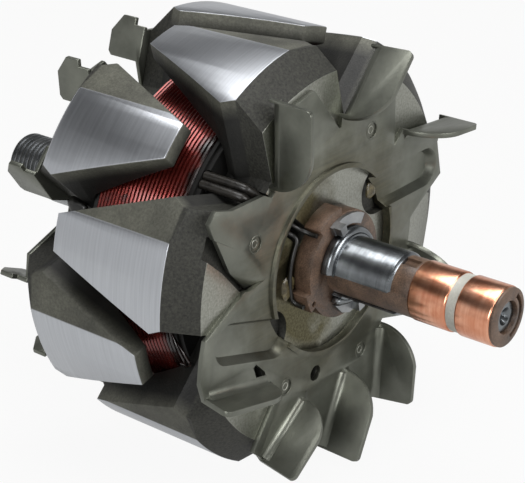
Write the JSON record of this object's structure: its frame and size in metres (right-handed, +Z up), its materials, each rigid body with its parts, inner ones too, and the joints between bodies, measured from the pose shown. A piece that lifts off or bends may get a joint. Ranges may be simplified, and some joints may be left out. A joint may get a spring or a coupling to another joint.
{
  "type": "alternator rotor",
  "caption": "Claw-pole rotor of a vehicle alternator: interleaved forged claws round a copper coil, stamped cooling fans, copper slip rings on a moulded neck and a threaded drive end.",
  "frame": {"origin": "on the shaft's axis, at the middle of the bearing seat beside the slip rings", "axes": "+Y along the shaft towards the threaded drive end, +Z up as the rotor lies on its claws"},
  "size_m": [0.105, 0.1503, 0.105],
  "materials": {
    "machined_steel": "turned and ground",
    "forged_steel": "dark forging scale, ground bright on the claws' outer lands",
    "stamped_steel": "rolled sheet with an oily sheen",
    "enamelled_copper": "red-brown enamel under varnish",
    "ring_copper": "turned copper, brushed round by use",
    "tinned_terminal": "tinned, dull",
    "brown_moulding": "moulded thermoset, satin",
    "bobbin_plastic": "moulded, varnished",
    "pale_insulation": "moulded, matt",
    "woven_sleeve": "woven glass sleeve, varnished"
  },
  "bodies": {
    "root": {"rotor_shaft": "machined_steel", "pole_half_slip_end": "forged_steel", "pole_half_drive_end": "forged_steel", "field_core": "forged_steel", "coil_bobbin": "bobbin_plastic", "field_winding": "enamelled_copper", "fan_slip_end": "stamped_steel", "fan_drive_end": "stamped_steel", "slip_ring_inner": "ring_copper", "slip_ring_outer": "ring_copper", "slip_ring_spacer": "pale_insulation", "slip_ring_moulding": "brown_moulding", "ring_lead_bar_inner": "ring_copper", "ring_lead_bar_outer": "ring_copper", "terminal_hook_lower": "tinned_terminal", "terminal_hook_upper": "tinned_terminal", "coil_lead_upper": "enamelled_copper", "coil_lead_lower": "enamelled_copper", "lead_sleeve_upper": "woven_sleeve", "lead_sleeve_lower": "woven_sleeve", "bearing_stop_ring": "machined_steel", "drive_end_spacer": "machined_steel"}
  },
  "joints": []
}
